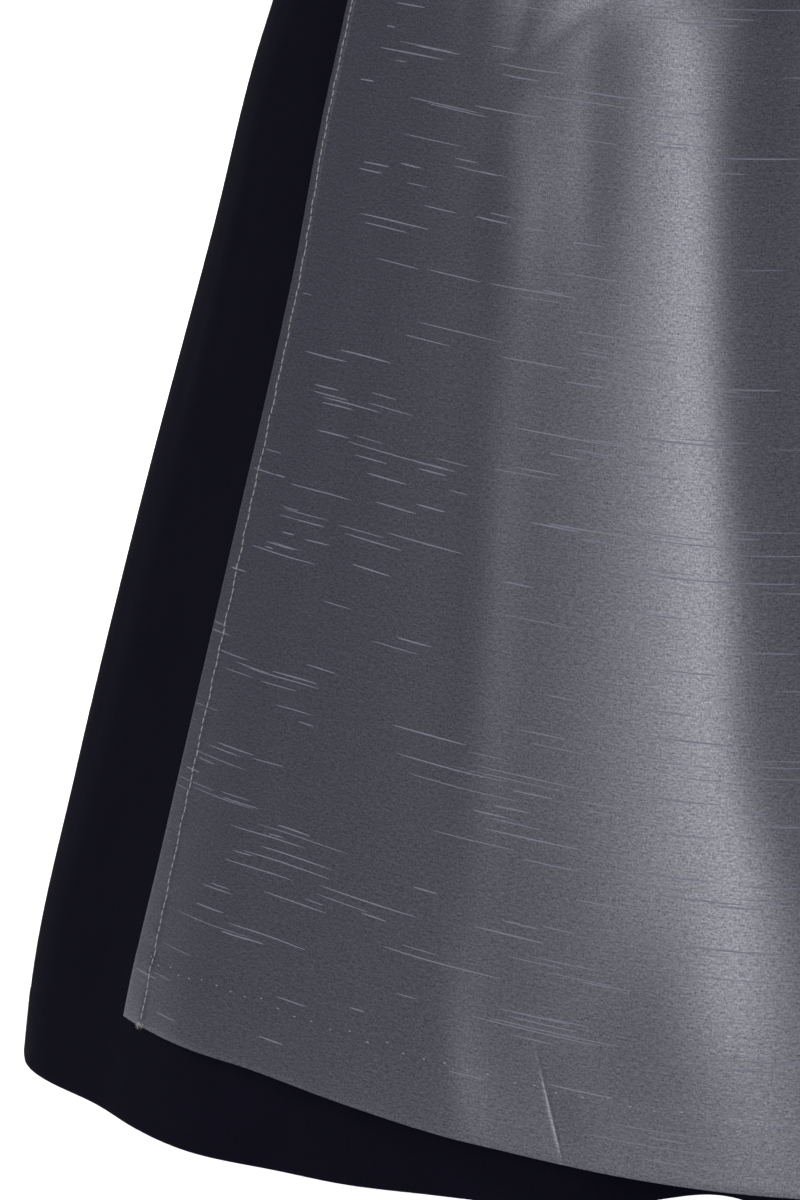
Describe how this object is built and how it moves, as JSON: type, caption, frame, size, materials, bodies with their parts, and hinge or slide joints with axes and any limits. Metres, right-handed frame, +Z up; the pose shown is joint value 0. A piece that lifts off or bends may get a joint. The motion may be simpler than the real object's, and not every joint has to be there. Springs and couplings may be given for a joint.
{
  "type": "dirndl",
  "caption": "Navy dirndl with a fitted sleeveless bodice, a button band, a full gathered skirt and a grey satin apron tied in a bow at the back.",
  "frame": {"origin": "midway between the shoulders, at the undersides of the two straps, where the wearer carries the dress", "axes": "+Z up, the front faces -Y, the wearer's left is +X"},
  "size_m": [0.7331, 0.5716, 1.0215],
  "materials": {
    "dress_cloth": "matte, fine plain weave, near-black navy",
    "apron_satin": "soft satin with slubs across, cool grey",
    "button_metal": "dull pewter"
  },
  "bodies": {
    "root": {"apron_panel": "apron_satin", "apron_tie_left": "apron_satin", "apron_tie_right": "apron_satin", "apron_waistband": "apron_satin", "bodice_back_left": "dress_cloth", "bodice_back_right": "dress_cloth", "bodice_front_left": "dress_cloth", "bodice_front_right": "dress_cloth", "bodice_side_back_left": "dress_cloth", "bodice_side_back_right": "dress_cloth", "bodice_side_front_left": "dress_cloth", "bodice_side_front_right": "dress_cloth", "bow_knot": "apron_satin", "bow_loop_left": "apron_satin", "bow_loop_right": "apron_satin", "bow_tail_left": "apron_satin", "bow_tail_right": "apron_satin", "button_1": "button_metal", "button_2": "button_metal", "button_3": "button_metal", "button_4": "button_metal", "button_5": "button_metal", "front_placket": "dress_cloth", "skirt_back": "dress_cloth", "skirt_front": "dress_cloth"}
  },
  "joints": []
}
